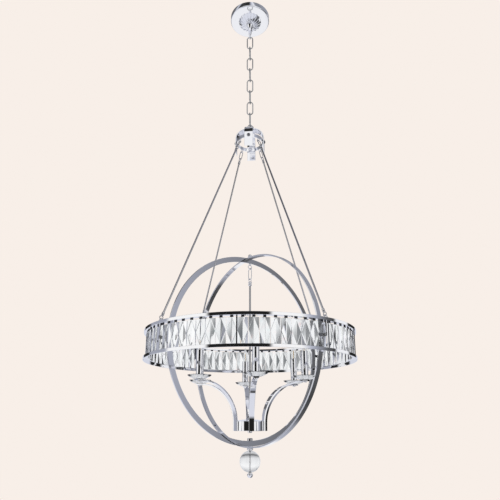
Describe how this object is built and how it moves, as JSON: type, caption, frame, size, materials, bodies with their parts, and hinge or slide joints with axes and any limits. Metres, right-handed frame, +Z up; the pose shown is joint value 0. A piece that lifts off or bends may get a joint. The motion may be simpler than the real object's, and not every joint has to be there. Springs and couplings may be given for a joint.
{
  "type": "orb chandelier",
  "caption": "Hanging orb chandelier: canopy and chain, four rods to a crystal drum, two crossed rings, and a candle cluster that hangs free inside.",
  "frame": {"origin": "centre of the canopy's ceiling face", "axes": "+Z up to the ceiling; the orb's flat ring lies in the XZ plane and its hoop in the YZ plane"},
  "size_m": [0.7619, 0.762, 1.921],
  "materials": {
    "crystal": "clear cut crystal",
    "chrome": "polished chrome plate",
    "dark_chrome": "dark chrome plate",
    "black_clip": "satin black lacquer",
    "clear_glass": "clear blown glass",
    "zinc_steel": "zinc plated steel",
    "brass": "plain brass",
    "socket_plastic": "white moulded phenolic",
    "filament_wire": "bright filament"
  },
  "bodies": {
    "ceiling": {"ceiling_strap": "zinc_steel", "canopy_pan": "chrome", "canopy_dome": "chrome", "canopy_neck": "chrome", "threaded_nipple": "brass", "nipple_nuts": "brass"},
    "link_1": {"chain_link_1": "chrome"},
    "chain_run": {"chain_link_2": "chrome", "chain_link_3": "chrome", "chain_link_4": "chrome", "chain_link_5": "chrome", "chain_link_6": "chrome", "chain_link_7": "chrome"},
    "link_8": {"chain_link_8": "chrome"},
    "frame": {"upper_hub": "chrome", "hub_ring": "chrome", "hub_screws": "chrome", "hub_loop": "chrome", "hub_loop_nut": "chrome", "rod_links": "dark_chrome", "suspension_rod_1": "dark_chrome", "suspension_rod_2": "dark_chrome", "suspension_rod_3": "dark_chrome", "suspension_rod_4": "dark_chrome", "upper_band": "chrome", "lower_band": "chrome", "drum_posts": "chrome", "drum_lugs": "chrome", "crystal_bars": "crystal", "crystal_clips": "black_clip", "ring_brackets": "black_clip", "orb_flat_ring": "chrome", "orb_hoop": "chrome", "top_knob": "chrome", "cluster_eye": "chrome", "finial_collar": "chrome", "finial_ball": "crystal", "finial_rod": "chrome", "end_knob": "chrome"},
    "cluster_link": {"cluster_link": "chrome"},
    "cluster": {"stem_collar": "chrome", "cluster_stem": "chrome", "arm_hub": "chrome", "arm_hub_cap": "chrome", "stem_nut": "chrome", "arm_1": "chrome", "arm_2": "chrome", "arm_3": "chrome", "arm_4": "chrome", "arm_5": "chrome", "arm_6": "chrome", "bobeches": "clear_glass", "candle_sleeves": "chrome", "lamp_sockets": "socket_plastic", "arm_screws": "chrome", "bulb_bases": "brass", "bulbs": "clear_glass", "filaments": "filament_wire"}
  },
  "joints": [
    {"name": "link_1_swing", "type": "hinge", "parent": "ceiling", "child": "link_1", "pos_m": [0, 0, -0.108], "axis": [0.7071, 0.7071, 0], "range_deg": [-15, 15]},
    {"name": "chain_run_swing", "type": "hinge", "parent": "link_1", "child": "chain_run", "pos_m": [0, 0, -0.163], "axis": [-0.7071, 0.7071, 0], "range_deg": [-15, 15]},
    {"name": "link_8_swing", "type": "hinge", "parent": "chain_run", "child": "link_8", "pos_m": [0, 0, -0.493], "axis": [-0.7071, 0.7071, 0], "range_deg": [-15, 15]},
    {"name": "frame_swing", "type": "hinge", "parent": "link_8", "child": "frame", "pos_m": [0, 0, -0.548], "axis": [0.7071, 0.7071, 0], "range_deg": [-12, 12]},
    {"name": "cluster_link_swing", "type": "hinge", "parent": "frame", "child": "cluster_link", "pos_m": [0, 0, -1.1712], "axis": [1, 0, 0], "range_deg": [-5, 5]},
    {"name": "cluster_swing", "type": "hinge", "parent": "cluster_link", "child": "cluster", "pos_m": [0, 0, -1.2129], "axis": [0, 1, 0], "range_deg": [-5, 5]}
  ]
}
